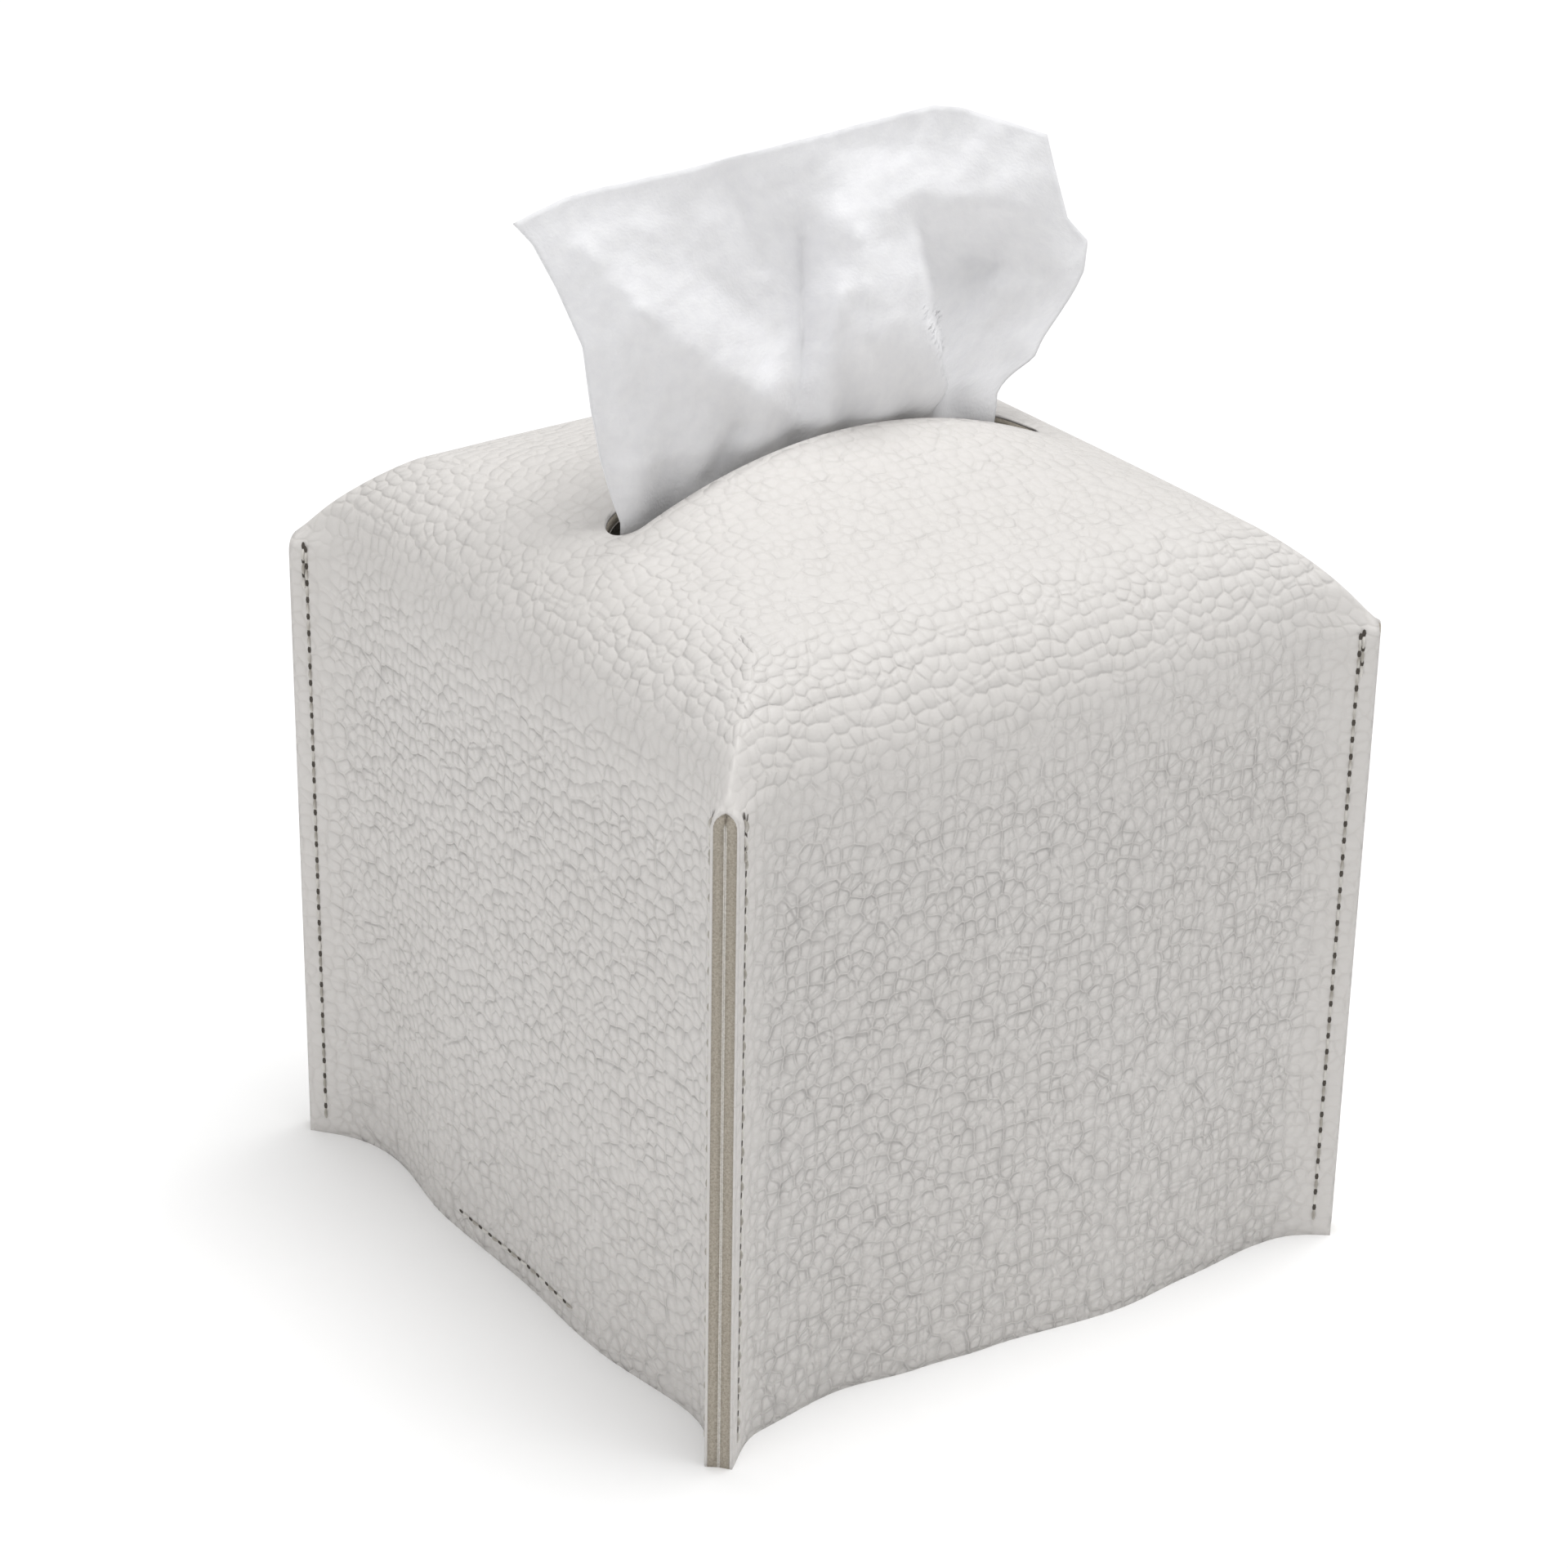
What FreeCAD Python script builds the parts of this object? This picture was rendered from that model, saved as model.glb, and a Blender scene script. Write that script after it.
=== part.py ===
import FreeCAD, Part
import math
import os
from FreeCAD import Vector

# A soft cover for a cube pack of tissues. The origin is on the table under the middle of the cover,
# +Z is up, the tissue slot runs along X, and -Y is the front.
# All lengths are in millimetres and all angles in degrees.

driving_sizes = {
    # the leather blank: one sheet folded down over four sides
    "leather_thickness": 2.1,
    "panel_span": 121.0,        # outer face to outer face, beside the fins
    "panel_bow": 1.5,           # how far the middle of a panel swells out
    "shoulder_height": 111.0,   # where a panel starts to roll over into the top
    "fold_radius": 23.0,
    "fold_turn_angle": 75.0,    # the rest of the quarter turn is the slope of the crown
    # the sewn corners
    "fin_span": 130.0,          # fin edge to fin edge along one side
    "fin_top": 116.2,
    "seam_gap": 0.3,            # between the two layers of a fin
    "flare_radius": 12.0,       # the bend from a panel into a fin
    "flare_drop": 10.0,         # how far below the ridge that bend fades out
    "ridge_run": 18.2,          # the rounded pinch that carries on from a fin into the top
    "ridge_rise": 13.1,
    "ridge_bulge": 0.85,
    # the slot
    "slot_length": 86.0,
    "slot_width": 8.0,
    # the threads
    "stitch_pitch": 3.1,
    "stitch_gap": 0.6,
    "thread_width": 0.55,
    "thread_height": 0.4,
    "thread_sink": 0.15,
    "seam_inset": 3.4,          # stitch row to fin edge
    "seam_start": 1.2,
    "seam_end": 117.0,
    # the closing belt: a long strap and a short tab
    "belt_width": 38.0,
    "belt_thickness": 1.8,
    "belt_lift": 0.6,           # strap above the table
    "belt_seam_rise": 1.6,      # stitch row above the fold of the belt
    "root_height": 8.0,
    "strap_length": 106.0,
    "tab_length": 36.0,
    "belt_end_round": 6.0,
    "seat_clearance": 0.1,
    "running_clearance": 0.35,
    # hook and loop patches
    "patch_length": 22.0,
    "patch_width": 30.0,
    "patch_thickness": 1.2,
    "patch_seam_inset": 2.0,
    "grip_clearance": 0.15,
    # the tissue that stands in the slot
    "tissue_thickness": 0.8,
    "tissue_spread": 60.0,      # half the width of the fan
    "tissue_top": 191.0,
    "tissue_neck_top": 146.0,
    "tissue_tail": 118.0,       # height of its lower edge inside the cover
    "tissue_fold_depth": 6.5,
    # every cutting shape runs past what it cuts by this much
    "overrun": 5.0,
}

# Shapes as shares of the sizes they follow.
# the ridge's arc: before the fin's edge, at its middle and past its end in the top
ridge_arc_shares = (-0.5, 0.5, 1.5)
# height, left edge, right edge and fold depth of each row of the tissue, tail to top edge
tissue_row_shares = (
    (0.0, -0.69, 0.565, 0.5),
    (0.25, -0.775, 0.83, 0.6),
    (0.45, -0.8, 0.875, 0.8),
    (0.72, -0.89, 0.76, 1.0),
    (1.0, -1.0, 0.715, 0.85),
)
tissue_fold_shares = (0.55, -0.9, 0.6, -1.0, 0.8, -0.7, 0.5)
fold_steps = 4

doc = FreeCAD.newDocument("tissue_box_cover")
sheet = doc.addObject("Spreadsheet::Sheet", "sizes")
for row, (alias, value) in enumerate(driving_sizes.items(), start=1):
    sheet.set("A%d" % row, alias)
    sheet.set("B%d" % row, str(value))
    sheet.setAlias("B%d" % row, alias)
doc.recompute()


def size(alias):
    return float(sheet.get(alias))


def bind(item, expressions):
    for name, expression in expressions.items():
        item.setExpression(name, expression)
    return item


def feature(label, shape):
    item = doc.addObject("Part::Feature", label)
    item.Shape = shape
    item.Label = label
    return item


def box(label, low, extent):
    # A block from its low corner and its three extents, each an expression of the sheet.
    item = doc.addObject("Part::Box", label)
    item.Label = label
    names = ("Placement.Base.x", "Placement.Base.y", "Placement.Base.z", "Length", "Width", "Height")
    return bind(item, dict(zip(names, low + extent)))


def cut(label, base, tool):
    item = doc.addObject("Part::Cut", label)
    item.Label = label
    item.Base = base
    item.Tool = tool
    return item


def fuse(label, pieces):
    item = doc.addObject("Part::MultiFuse", label)
    item.Label = label
    item.Shapes = pieces
    return item


def common(label, pieces):
    item = doc.addObject("Part::MultiCommon", label)
    item.Label = label
    item.Shapes = pieces
    return item


def prism(label, edges, along):
    # A closed outline pushed straight along a vector.
    item = doc.addObject("Part::Extrusion", label)
    item.Base = feature(label + "_outline", Part.Wire(edges))
    item.DirMode = "Custom"
    item.Dir = along
    item.LengthFwd = along.Length
    item.Solid = True
    return item


def line(start, end):
    return Part.makeLine(start, end)


def arc(start, middle, end):
    return Part.Arc(start, middle, end).toShape()


# Leather cover

root_two = math.sqrt(2.0)
panel_half = size("panel_span") / 2.0
leather = size("leather_thickness")
overrun = size("overrun")
fin_reach = size("fin_span") / root_two
fin_half = leather + size("seam_gap") / 2.0
fold_centre = panel_half + size("panel_bow") - size("fold_radius")
fold_turn = math.radians(size("fold_turn_angle"))
top_limit = size("shoulder_height") + 2.0 * size("fold_radius")


def panel_prism(label, depth, foot):
    # The four bowed panels as one upright block.
    half = panel_half - depth
    crest = half + size("panel_bow")
    corners = [Vector(-half, -half, foot), Vector(half, -half, foot),
               Vector(half, half, foot), Vector(-half, half, foot)]
    crests = [Vector(0, -crest, foot), Vector(crest, 0, foot), Vector(0, crest, foot), Vector(-crest, 0, foot)]
    edges = []
    for number in range(4):
        edges.append(arc(corners[number], crests[number], corners[(number + 1) % 4]))
    return prism(label, edges, Vector(0, 0, top_limit - foot))


def fold_prism(label, depth, foot, quarter):
    # The roll over two opposite top edges and the slope up to the slot, seen along the roll.
    radius = size("fold_radius") - depth
    shoulder = size("shoulder_height")
    wall = fold_centre + radius
    bend = fold_centre + radius * math.cos(fold_turn / 2.0), shoulder + radius * math.sin(fold_turn / 2.0)
    brow = fold_centre + radius * math.cos(fold_turn), shoulder + radius * math.sin(fold_turn)
    peak = brow[1] + brow[0] / math.tan(fold_turn)
    back = -wall - overrun
    outline = [(wall, foot), (wall, shoulder), bend, brow, (0, peak)]
    right = [Vector(place, back, height) for place, height in outline]
    left = [Vector(-place, back, height) for place, height in outline]
    edges = [
        line(left[0], right[0]), line(right[0], right[1]), arc(right[1], right[2], right[3]),
        line(right[3], right[4]), line(left[4], left[3]), arc(left[3], left[2], left[1]), line(left[1], left[0]),
    ]
    item = prism(label, edges, Vector(0, -2.0 * back, 0))
    item.Placement.Rotation = FreeCAD.Rotation(Vector(0, 0, 1), 90.0 * quarter)
    return item


def fin_outline(depth, foot, flared):
    # A fin from above, pointing along +X: a straight plate, or a plate with a bend into each panel.
    half = fin_half - depth
    tip = fin_reach + overrun
    bend_aside = fin_half + size("flare_radius")
    bend_along = root_two * (panel_half + size("flare_radius")) - bend_aside
    radius = size("flare_radius") + depth
    root_along = bend_along - radius / root_two
    root_aside = bend_aside - radius / root_two if flared else half
    half_bend = math.pi / 8.0
    middle = Vector(bend_along - radius * math.sin(half_bend), bend_aside - radius * math.cos(half_bend), foot)

    def mirror(point):
        return Vector(point.x, -point.y, point.z)

    root = Vector(root_along, root_aside, foot)
    neck = Vector(bend_along, half, foot)
    edge = Vector(tip, half, foot)
    bends = [line(root, neck), line(mirror(neck), mirror(root))]
    if flared:
        bends = [arc(root, middle, neck), arc(mirror(neck), mirror(middle), mirror(root))]
    return [bends[0], line(neck, edge), line(edge, mirror(edge)), line(mirror(edge), mirror(neck)),
            bends[1], line(mirror(root), root)]


def ridge_prism(label, depth, foot, drop):
    # What lies under the ridge over a fin, seen from the fin's flat side.
    run = size("ridge_run")
    rise = size("ridge_rise")
    bulge = size("ridge_bulge")
    chord = math.hypot(run, rise)
    radius = (chord ** 2 / 4.0 + bulge ** 2) / (2.0 * bulge)
    start = Vector(fin_reach, 0, size("fin_top") - drop)
    inward = Vector(-rise, 0, -run) / chord
    centre = start + Vector(-run, 0, rise) / 2.0 + inward * (radius - bulge)
    low_angle = math.atan2(start.z - centre.z, start.x - centre.x)
    spread = 2.0 * math.asin(chord / 2.0 / radius)
    aside = Vector(0, -size("fold_radius"), 0)

    def at(share):
        angle = low_angle + spread * share
        return centre + Vector(math.cos(angle), 0, math.sin(angle)) * (radius - depth) + aside

    outer, middle, inner = [at(share) for share in ridge_arc_shares]
    foot_outer = Vector(outer.x, aside.y, foot)
    foot_inner = Vector(inner.x, aside.y, foot)
    edges = [arc(outer, middle, inner), line(inner, foot_inner), line(foot_inner, foot_outer),
             line(foot_outer, outer)]
    return prism(label, edges, aside * -2.0)


def fin_form(label, depth, foot, quarter):
    # One corner's fin, and the bends that lead into it, which fade out below the ridge.
    up = Vector(0, 0, top_limit - foot)
    pieces = []
    for name, flared, drop in (("plate", False, 0), ("flare", True, size("flare_drop"))):
        body = prism("%s_%s" % (label, name), fin_outline(depth, foot, flared), up)
        ridge = ridge_prism("%s_%s_ridge" % (label, name), depth, foot, drop)
        pieces.append(common("%s_%s_part" % (label, name), [body, ridge]))
    fin = fuse(label, pieces)
    fin.Placement.Rotation = FreeCAD.Rotation(Vector(0, 0, 1), 45.0 + 90.0 * quarter)
    return fin


def cover_form(label, depth, foot):
    # The cover's outside at depth 0, or its inside at the leather's thickness.
    tower = common(label + "_tower", [
        panel_prism(label + "_panels", depth, foot),
        fold_prism(label + "_side_folds", depth, foot, 0),
        fold_prism(label + "_end_folds", depth, foot, 1),
    ])
    fins = [fin_form("%s_fin_%d" % (label, quarter), depth, foot, quarter) for quarter in range(4)]
    return fuse(label, [tower] + fins)


shell = cut("cover_shell", cover_form("cover_outside", 0, 0), cover_form("cover_inside", leather, -overrun))

# The fins are cut off square in a straight line from the bottom edge to the top of each corner.
trims = []
for quarter in range(4):
    trim = doc.addObject("Part::Box", "fin_trim_%d" % quarter)
    bind(trim, {
        "Length": "2 * sizes.overrun",
        "Width": "2 * sizes.flare_radius",
        "Height": "sizes.shoulder_height + sizes.fold_radius + sizes.overrun",
    })
    turn = FreeCAD.Rotation(Vector(0, 0, 1), 45.0 + 90.0 * quarter)
    trim.Placement = FreeCAD.Placement(
        turn.multVec(Vector(fin_reach, -size("flare_radius"), -overrun)), turn)
    trims.append(trim)

# The slot, with round ends, straight down through the crown.
slot_middle = box(
    "slot_middle",
    ("-(sizes.slot_length - sizes.slot_width) / 2", "-sizes.slot_width / 2", "sizes.shoulder_height"),
    ("sizes.slot_length - sizes.slot_width", "sizes.slot_width", "2 * sizes.fold_radius + sizes.overrun"))
slot_pieces = [slot_middle]
for side in (-1, 1):
    end = doc.addObject("Part::Cylinder", "slot_end_%s" % ("left" if side < 0 else "right"))
    bind(end, {
        "Radius": "sizes.slot_width / 2",
        "Height": "2 * sizes.fold_radius + sizes.overrun",
        "Placement.Base.x": "%d * (sizes.slot_length - sizes.slot_width) / 2" % side,
        "Placement.Base.z": "sizes.shoulder_height",
    })
    slot_pieces.append(end)
slot = fuse("slot_cutter", slot_pieces)

trimmed = cut("trimmed_shell", shell, fuse("fin_trims", trims))
leather_cover = cut("leather_cover", trimmed, slot)


# Threads: each stitch is a short flat bar, pressed a little into what it holds.

def stitch(middle, along, out):
    length = size("stitch_pitch") - size("stitch_gap")
    width = size("thread_width")
    bar = Part.makeBox(length, width, size("thread_height"),
                       Vector(-length / 2.0, -width / 2.0, -size("thread_sink")))
    across = out.cross(along)
    bar.Placement = FreeCAD.Placement(middle, FreeCAD.Rotation(along, across, out, "XZY"))
    return bar


def stitch_run(start, end, out, lay=None):
    # Stitches at an even pitch from start to end. lay moves each one onto a curved face.
    run = end - start
    count = int(run.Length / size("stitch_pitch"))
    along = Vector(run).normalize()
    first = (run.Length - count * size("stitch_pitch")) / 2.0
    bars = []
    for number in range(count):
        middle = start + along * (first + (number + 0.5) * size("stitch_pitch"))
        bars.append(stitch(lay(middle) if lay else middle, along, out))
    return bars


def panel_face(across, depth):
    # Distance from the middle of the cover to a panel's bowed face, at a place across the panel.
    half = panel_half - depth
    return half + size("panel_bow") * (1.0 - (across / half) ** 2)


seam_reach = fin_reach - size("seam_inset")
corner_names = ("back_right", "back_left", "front_left", "front_right")
seam_threads = []
for quarter, corner in enumerate(corner_names):
    bars = []
    for side in (-1, 1):
        low = Vector(seam_reach, side * fin_half, size("seam_start"))
        high = Vector(seam_reach, side * fin_half, size("seam_end"))
        bars += stitch_run(low, high, Vector(0, side, 0))
    thread = feature("seam_thread_" + corner, Part.makeCompound(bars))
    thread.Placement = FreeCAD.Placement(
        Vector(0, 0, 0), FreeCAD.Rotation(Vector(0, 0, 1), 45.0 + 90.0 * quarter))
    seam_threads.append(thread)

# Closing belt: each half has a root sewn inside a panel, and a free end that turns at the fold below it.

inner_half = "(sizes.panel_span / 2 - sizes.leather_thickness)"
belt_seat = "(%s + sizes.panel_bow * (1 - (sizes.belt_width / 2 / %s) ^ 2))" % (inner_half, inner_half)
root_face = "(%s - sizes.seat_clearance)" % belt_seat
axis_place = "(%s - sizes.running_clearance - sizes.belt_thickness / 2)" % belt_seat
strap_axis_height = "(sizes.belt_lift + sizes.belt_thickness / 2)"
hook_base = "(sizes.belt_lift + sizes.belt_thickness)"
loop_base = "(%s + sizes.patch_thickness + sizes.grip_clearance)" % hook_base
tab_base = "(%s + sizes.patch_thickness)" % loop_base
tab_axis_height = "(%s + sizes.belt_thickness / 2)" % tab_base
patch_middle = "((sizes.strap_length - sizes.tab_length) / 2)"


def belt_root(label, side, axis_height):
    return box(
        label,
        ("-%s" % root_face if side < 0 else "%s - sizes.belt_thickness" % root_face, "-sizes.belt_width / 2",
         "%s + sizes.belt_thickness / 2 + sizes.running_clearance" % axis_height),
        ("sizes.belt_thickness", "sizes.belt_width", "sizes.root_height"))


def belt_half(label, side, axis_height, length):
    # A flat strap with a rounded fold at its root and round corners at its free end.
    flat = box(
        label + "_flat",
        ("-%s" % axis_place if side < 0 else "%s - %s" % (axis_place, length), "-sizes.belt_width / 2",
         "%s - sizes.belt_thickness / 2" % axis_height),
        (length, "sizes.belt_width", "sizes.belt_thickness"))
    doc.recompute()
    free_end = flat.Shape.BoundBox.XMax if side < 0 else flat.Shape.BoundBox.XMin
    rounded = doc.addObject("Part::Fillet", label + "_rounded")
    rounded.Base = flat
    radius = min(size("belt_end_round"), size("belt_width") / 2.0 - size("belt_thickness"))
    corners = []
    for number, edge in enumerate(flat.Shape.Edges, start=1):
        middle = edge.CenterOfMass
        upright = abs(edge.BoundBox.ZLength - size("belt_thickness")) < size("seat_clearance")
        if upright and abs(middle.x - free_end) < size("seat_clearance"):
            corners.append((number, radius, radius))
    rounded.Edges = corners
    fold = doc.addObject("Part::Cylinder", label + "_fold")
    bind(fold, {
        "Radius": "sizes.belt_thickness / 2",
        "Height": "sizes.belt_width",
        "Placement.Base.x": "%s%s" % ("-" if side < 0 else "", axis_place),
        "Placement.Base.y": "sizes.belt_width / 2",
        "Placement.Base.z": axis_height,
    })
    fold.Placement.Rotation = FreeCAD.Rotation(Vector(1, 0, 0), 90)
    return fuse(label, [rounded, fold])


strap_root = belt_root("strap_root", -1, strap_axis_height)
strap = belt_half("strap", -1, strap_axis_height, "sizes.strap_length")
tab_root = belt_root("tab_root", 1, tab_axis_height)
tab = belt_half("tab", 1, tab_axis_height, "sizes.tab_length")

patches = []
for label, base in (("hook_patch", hook_base), ("loop_patch", loop_base)):
    patches.append(box(
        label,
        ("%s - sizes.patch_length / 2" % patch_middle, "-sizes.patch_width / 2", base),
        ("sizes.patch_length", "sizes.patch_width", "sizes.patch_thickness")))
doc.recompute()


def patch_thread(label, patch, face_height, out):
    # A box of stitches round a patch, on the far side of the strap or tab that carries it.
    bounds = patch.Shape.BoundBox
    inset = size("patch_seam_inset")
    corners = [
        Vector(bounds.XMin + inset, bounds.YMin + inset, face_height),
        Vector(bounds.XMax - inset, bounds.YMin + inset, face_height),
        Vector(bounds.XMax - inset, bounds.YMax - inset, face_height),
        Vector(bounds.XMin + inset, bounds.YMax - inset, face_height),
    ]
    bars = []
    for number, corner in enumerate(corners):
        bars += stitch_run(corner, corners[(number + 1) % 4], Vector(0, 0, out))
    return feature(label, Part.makeCompound(bars))


hook_thread = patch_thread("hook_patch_thread", patches[0], strap.Shape.BoundBox.ZMin, -1)
loop_thread = patch_thread("loop_patch_thread", patches[1], tab.Shape.BoundBox.ZMax, 1)


def belt_thread(label, side, root):
    # One row through the panel and the root: outside on the panel's face, inside on the root.
    bounds = root.Shape.BoundBox
    half_width = size("belt_width") / 2.0
    height = bounds.ZMin - size("running_clearance") + size("belt_seam_rise")

    def on_panel(point):
        return Vector(side * panel_face(point.y, 0), point.y, point.z)

    low = Vector(0, -half_width, height)
    high = Vector(0, half_width, height)
    bars = stitch_run(low, high, Vector(side, 0, 0), on_panel)
    inner_x = bounds.XMax if side < 0 else bounds.XMin
    bars += stitch_run(low + Vector(inner_x, 0, 0), high + Vector(inner_x, 0, 0), Vector(-side, 0, 0))
    return feature(label, Part.makeCompound(bars))


strap_thread = belt_thread("strap_thread", -1, strap_root)
tab_thread = belt_thread("tab_thread", 1, tab_root)


# Tissue: one thin gathered sheet, narrow in the slot and opening into a folded fan above it.

def tissue_row(label, height, left, right, depth):
    # A level slice of the sheet: a row of folds in short straight runs, the same on both faces.
    half_thick = size("tissue_thickness") / 2.0
    step = (right - left) / (len(tissue_fold_shares) * fold_steps)
    middle = []
    for number in range(len(tissue_fold_shares) * fold_steps + 1):
        share = tissue_fold_shares[min(number // fold_steps, len(tissue_fold_shares) - 1)]
        swell = math.sin(math.pi * (number % fold_steps) / fold_steps)
        middle.append(Vector(left + step * number, depth * share * swell, height))
    shift = Vector(0, half_thick, 0)
    outline = [point - shift for point in middle] + [point + shift for point in reversed(middle)]
    return feature(label, Part.makePolygon(outline + outline[:1]))


tissue_rows = []
neck_share = tissue_row_shares[0]
spread = size("tissue_spread")
fold_depth = size("tissue_fold_depth")
for height in (size("tissue_tail"), (size("tissue_tail") + size("tissue_neck_top")) / 2.0):
    tissue_rows.append(tissue_row(
        "tissue_row_%d" % len(tissue_rows), height,
        neck_share[1] * spread, neck_share[2] * spread, neck_share[3] * fold_depth))
for rise, left, right, depth in tissue_row_shares:
    height = size("tissue_neck_top") + rise * (size("tissue_top") - size("tissue_neck_top"))
    tissue_rows.append(tissue_row(
        "tissue_row_%d" % len(tissue_rows), height, left * spread, right * spread, depth * fold_depth))
tissue_sheet = doc.addObject("Part::Loft", "tissue_sheet")
tissue_sheet.Label = "tissue_sheet"
tissue_sheet.Sections = tissue_rows
tissue_sheet.Solid = True
tissue_sheet.Ruled = True

doc.recompute()

nodes = [leather_cover] + seam_threads + [
    strap_root, strap, tab_root, tab, *patches,
    strap_thread, tab_thread, hook_thread, loop_thread, tissue_sheet,
]

for item in doc.Objects:
    if "Invalid" in item.State or "Error" in item.State:
        raise RuntimeError("%s failed: %s" % (item.Name, item.State))
for node in nodes:
    if node.Shape.isNull() or not node.Shape.isValid():
        raise RuntimeError("%s has no valid shape" % node.Label)

os.makedirs("parts", exist_ok=True)
for node in nodes:
    node.Shape.exportStep("parts/%s.step" % node.Label)
    print(node.Label, len(node.Shape.Solids), "solids", round(node.Shape.Volume, 1), "mm3")
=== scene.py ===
import math

import bmesh
import bpy
from mathutils import Matrix, Vector, noise
from mathutils.bvhtree import BVHTree


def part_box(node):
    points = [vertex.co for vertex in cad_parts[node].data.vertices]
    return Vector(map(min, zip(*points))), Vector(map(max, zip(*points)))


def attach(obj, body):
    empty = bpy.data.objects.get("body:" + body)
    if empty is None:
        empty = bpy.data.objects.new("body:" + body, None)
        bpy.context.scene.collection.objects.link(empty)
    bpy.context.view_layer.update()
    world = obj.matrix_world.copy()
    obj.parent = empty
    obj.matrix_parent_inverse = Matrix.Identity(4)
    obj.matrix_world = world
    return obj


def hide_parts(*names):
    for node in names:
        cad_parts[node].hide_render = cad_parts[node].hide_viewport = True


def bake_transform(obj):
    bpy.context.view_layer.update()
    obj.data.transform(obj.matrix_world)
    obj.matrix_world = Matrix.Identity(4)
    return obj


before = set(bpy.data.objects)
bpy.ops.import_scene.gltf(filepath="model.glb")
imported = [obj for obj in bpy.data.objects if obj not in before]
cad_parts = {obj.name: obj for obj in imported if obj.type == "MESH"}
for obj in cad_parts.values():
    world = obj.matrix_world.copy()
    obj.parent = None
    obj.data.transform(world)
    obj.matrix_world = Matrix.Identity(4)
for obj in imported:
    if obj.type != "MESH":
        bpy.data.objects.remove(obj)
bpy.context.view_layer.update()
mm = 0.001  # sizes below are in millimetres, meshes in metres


def linear(hexColour):
    channels = [int(hexColour[i:i + 2], 16) / 255 for i in (1, 3, 5)]
    return [c / 12.92 if c <= 0.04045 else ((c + 0.055) / 1.055) ** 2.4 for c in channels] + [1.0]


def setInputs(tree, node, inputs):
    for name, value in inputs.items():
        if isinstance(value, bpy.types.NodeSocket):
            tree.links.new(value, node.inputs[name])
        else:
            node.inputs[name].default_value = value


def addNode(tree, kind, settings=None, inputs=None):
    node = tree.nodes.new(kind)
    for name, value in (settings or {}).items():
        setattr(node, name, value)
    setInputs(tree, node, inputs or {})
    return node


def mathNode(tree, operation, *values):
    return addNode(tree, "ShaderNodeMath", {"operation": operation}, dict(enumerate(values))).outputs[0]


def easeNode(tree, value, limits):
    return addNode(tree, "ShaderNodeMapRange", {"interpolation_type": "SMOOTHSTEP"},
                   {"Value": value, **limits}).outputs[0]


def flatNoise(tree, flat, size, detail):
    return addNode(tree, "ShaderNodeTexNoise", {"noise_dimensions": "2D"},
                   {"Vector": flat, "Scale": 1 / size, "Detail": detail}).outputs[0]


def flatCells(tree, feature, inputs):
    return addNode(tree, "ShaderNodeTexVoronoi", {"voronoi_dimensions": "2D", "feature": feature},
                   inputs).outputs["Distance"]


def mixColours(tree, share, first, second):
    return addNode(tree, "ShaderNodeMix", {"data_type": "RGBA"},
                   {0: share, 6: linear(first), 7: linear(second)}).outputs[2]


def reliefOf(tree, height, strength, depth, invert=False):
    return addNode(tree, "ShaderNodeBump", {"invert": invert},
                   {"Strength": strength, "Distance": depth * mm, "Height": height}).outputs[0]


def newMaterial(name):
    material = bpy.data.materials.new(name)
    material.use_nodes = True
    return material, material.node_tree, material.node_tree.nodes["Principled BSDF"]


def makePiece(name, bm, materials, body, replaced=()):
    for face in bm.faces:
        face.smooth = True
    mesh = bpy.data.meshes.new(name)
    bm.to_mesh(mesh)
    bm.free()
    piece = bpy.data.objects.new(name, mesh)
    bpy.context.scene.collection.objects.link(piece)
    for material in materials:
        mesh.materials.append(material)
    if body:
        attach(piece, body)
    if replaced:
        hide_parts(*replaced)
    return piece


def smoothStep(low, high, value):
    share = min(max((value - low) / (high - low), 0.0), 1.0)
    return share * share * (3 - 2 * share)


def along(table, place, soft=True):
    # soft or straight line through (place, value) rows
    if place <= table[0][0]:
        return table[0][1:]
    for before, after in zip(table, table[1:]):
        if place <= after[0]:
            share = (place - before[0]) / (after[0] - before[0])
            share = smoothStep(0, 1, share) if soft else share
            return tuple(a + (b - a) * share for a, b in zip(before[1:], after[1:]))
    return table[-1][1:]


# grained PU leather: an embossed film on felt. Close soft pebbles with fine creases between them, a matt sheen
leatherLook = {
    "film": "#DFDCD9", "valleyShade": "#CBC7C2", "cloud": 40.0, "cloudShare": 0.3, "roughGroove": 0.7, "roughTop": 0.5,
    "pebble": 2.4, "sway": 0.45, "wander": 0.5, "scatter": 0.72, "blend": 0.25, "dome": -1.7, "groove": 0.2,
    "patch": 2.5, "faint": 0.05, "clear": 0.2, "crease": 11.0, "creaseWidth": 0.06, "creaseRise": 0.25,
    "pore": 0.45, "poreRise": 0.1, "strength": 0.8, "depth": 0.6,
}


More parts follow.
